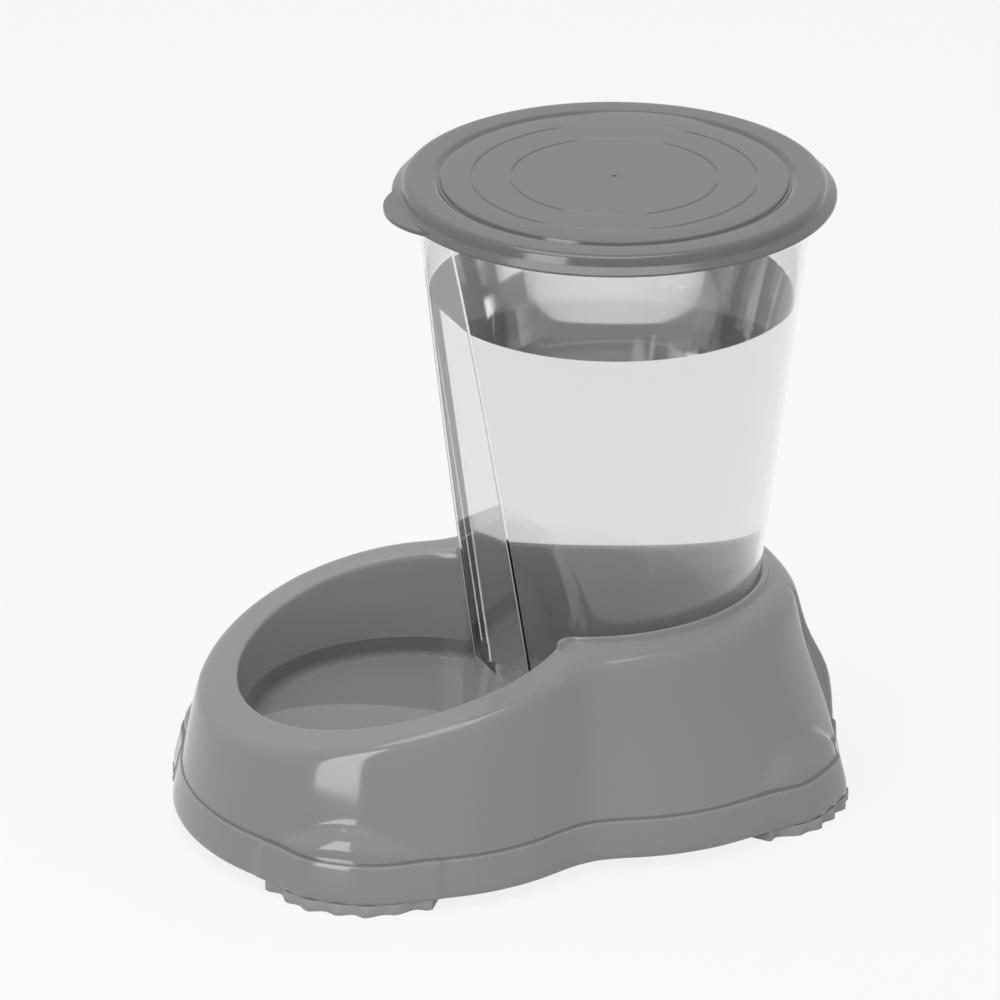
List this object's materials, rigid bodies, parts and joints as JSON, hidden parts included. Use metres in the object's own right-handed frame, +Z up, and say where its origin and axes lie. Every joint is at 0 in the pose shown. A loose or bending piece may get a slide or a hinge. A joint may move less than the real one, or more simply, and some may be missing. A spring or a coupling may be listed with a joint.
{
  "type": "gravity pet water dispenser",
  "caption": "Gravity water dispenser for pets: clear tapered tank with a flat front and a pressed-on lid, standing in a two-lobed bowl base with soft scalloped feet",
  "frame": {"origin": "centre of the bounding box in plan, on the ground under the feet", "axes": "+Z up along the tank's axis; -Y towards the front of the bowl; +X to the side; the base is mirror symmetric about X = 0"},
  "size_m": [0.1998, 0.281, 0.2637],
  "materials": {
    "base_plastic": "satin injection-moulded plastic, warm mid grey",
    "clear_plastic": "clear polished plastic",
    "lid_plastic": "satin moulded plastic, slightly darker grey",
    "soft_foot": "soft matt non-slip rubber"
  },
  "bodies": {
    "dispenser": {"base": "base_plastic", "tank": "clear_plastic", "foot_front_left": "soft_foot", "foot_front_right": "soft_foot", "foot_rear_left": "soft_foot", "foot_rear_right": "soft_foot"},
    "lid_body": {"lid": "lid_plastic"}
  },
  "joints": [
    {"name": "lid_lift", "type": "slide", "parent": "dispenser", "child": "lid_body", "axis": [0, 0, 1], "range_m": [0, 0.045]}
  ]
}
